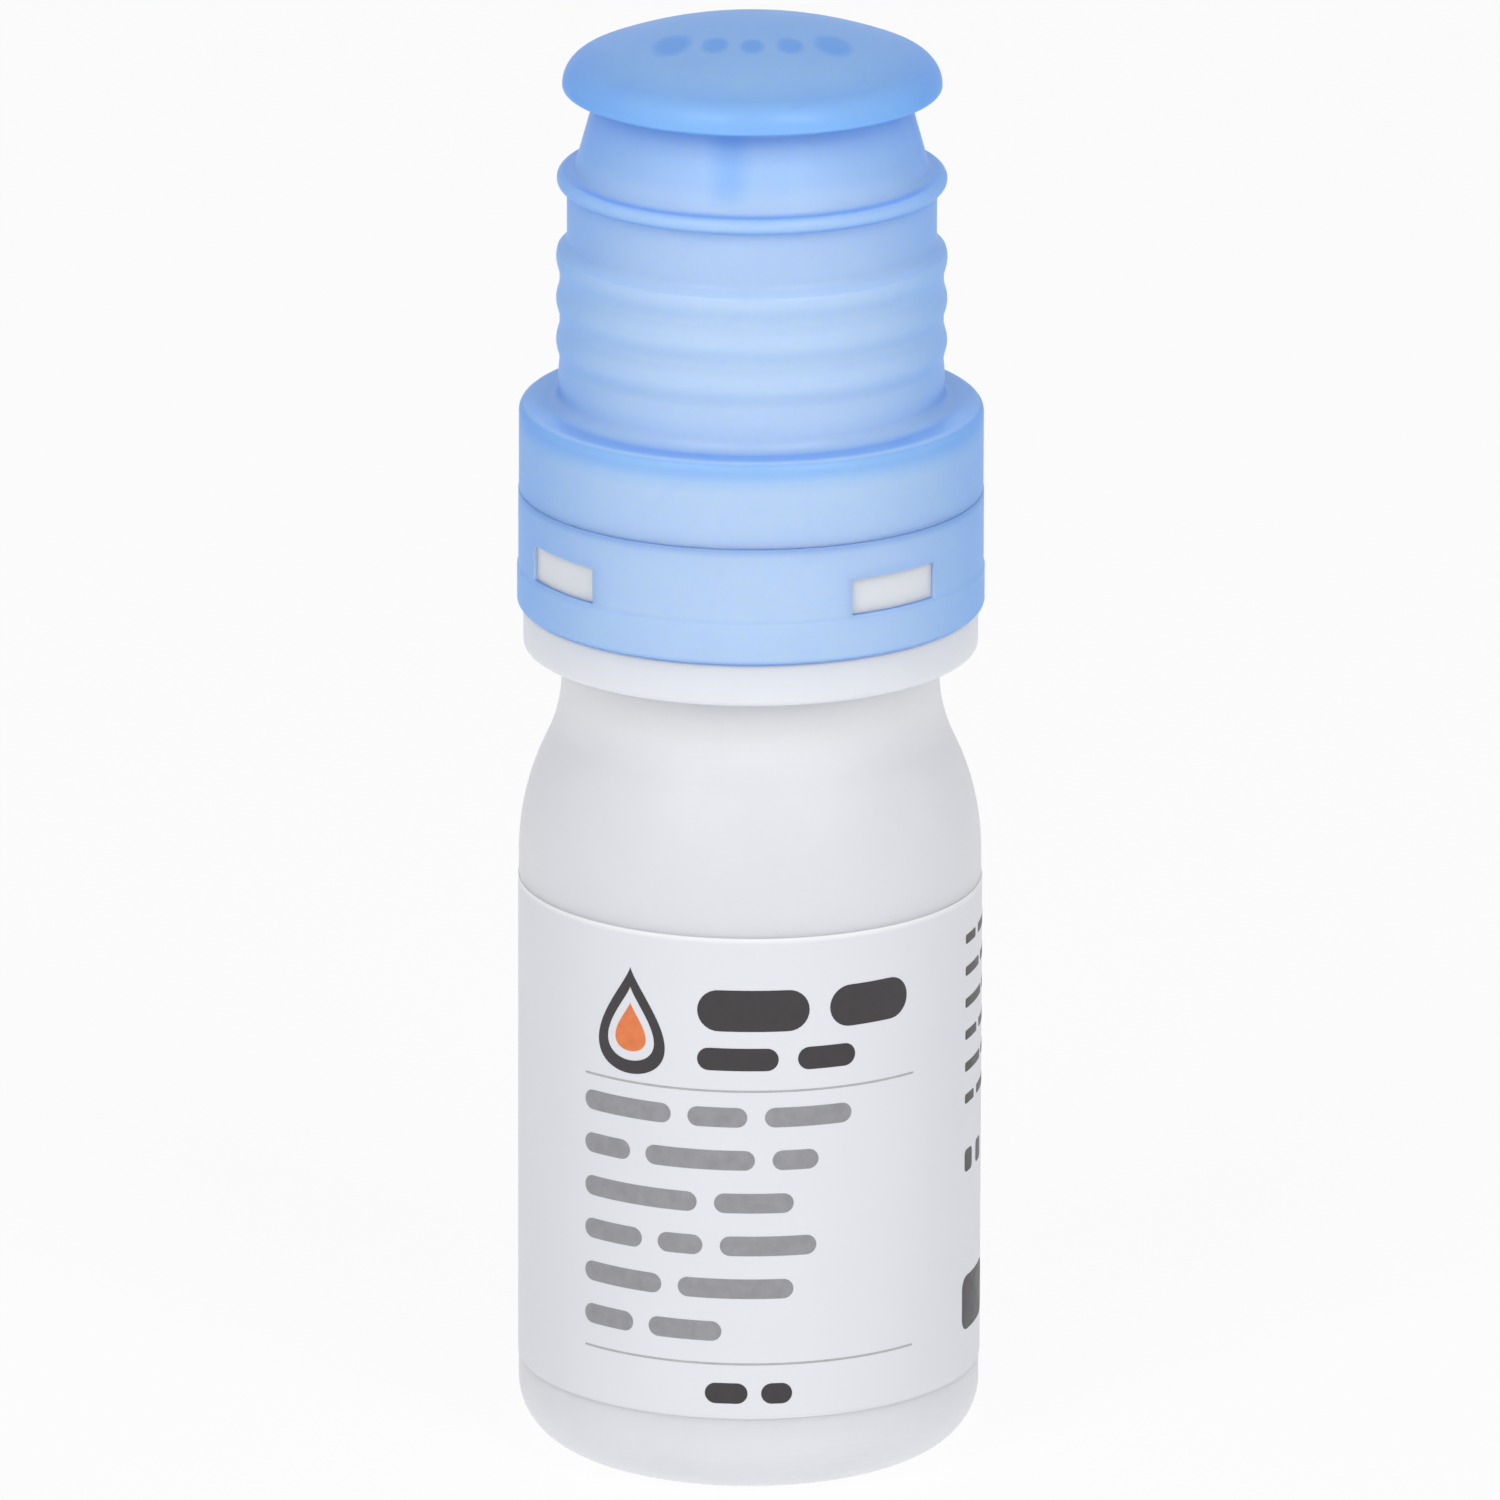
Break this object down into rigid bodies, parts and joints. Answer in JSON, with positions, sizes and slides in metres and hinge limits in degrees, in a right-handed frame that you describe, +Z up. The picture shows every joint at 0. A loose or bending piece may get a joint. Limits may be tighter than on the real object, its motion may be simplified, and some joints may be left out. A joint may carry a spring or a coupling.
{
  "type": "eye drop bottle",
  "caption": "Round bottle with a press-down dropper head: finger collar, sprung piston pump, sprung tip valve, pull-off cap and tamper ring.",
  "frame": {"origin": "centre of the foot that the bottle stands on", "axes": "+Z up the bottle to the cap, -Y towards the front of the label"},
  "size_m": [0.0241, 0.0242, 0.0753],
  "materials": {
    "bottle_plastic": "satin translucent white",
    "label_film": "smooth printed film",
    "white_plastic": "satin white moulding",
    "inner_plastic": "natural milky moulding",
    "blue_plastic": "satin translucent light blue",
    "soft_rubber": "smooth soft rubber",
    "steel": "bright drawn wire and ball",
    "filter_membrane": "porous white disc"
  },
  "bodies": {
    "bottle": {"bottle": "bottle_plastic", "label": "label_film", "neck_gasket": "soft_rubber", "snap_ferrule": "white_plastic", "pump_cylinder": "inner_plastic", "ball_cage": "inner_plastic", "vent_filter": "filter_membrane", "return_spring": "steel"},
    "inlet_ball": {"inlet_ball": "steel"},
    "applicator": {"applicator": "white_plastic", "piston": "inner_plastic", "dropper_tip": "white_plastic", "tip_spring": "steel", "tamper_ring": "blue_plastic"},
    "valve_pin": {"valve_pin": "inner_plastic"},
    "cap": {"cap": "blue_plastic", "cap_seal": "soft_rubber"}
  },
  "joints": [
    {"name": "pump_press", "type": "slide", "parent": "bottle", "child": "applicator", "axis": [0, 0, -1], "range_m": [0, 0.002], "stiffness_N_per_m": 1500, "deforming": ["return_spring"]},
    {"name": "inlet_ball_lift", "type": "slide", "parent": "bottle", "child": "inlet_ball", "axis": [0, 0, 1], "range_m": [0, 0.0005]},
    {"name": "valve_pin_retract", "type": "slide", "parent": "applicator", "child": "valve_pin", "axis": [0, 0, -1], "range_m": [0, 0.00045], "stiffness_N_per_m": 300, "deforming": ["tip_spring"]},
    {"name": "cap_pull", "type": "slide", "parent": "applicator", "child": "cap", "axis": [0, 0, 1], "range_m": [0, 0.025]}
  ]
}
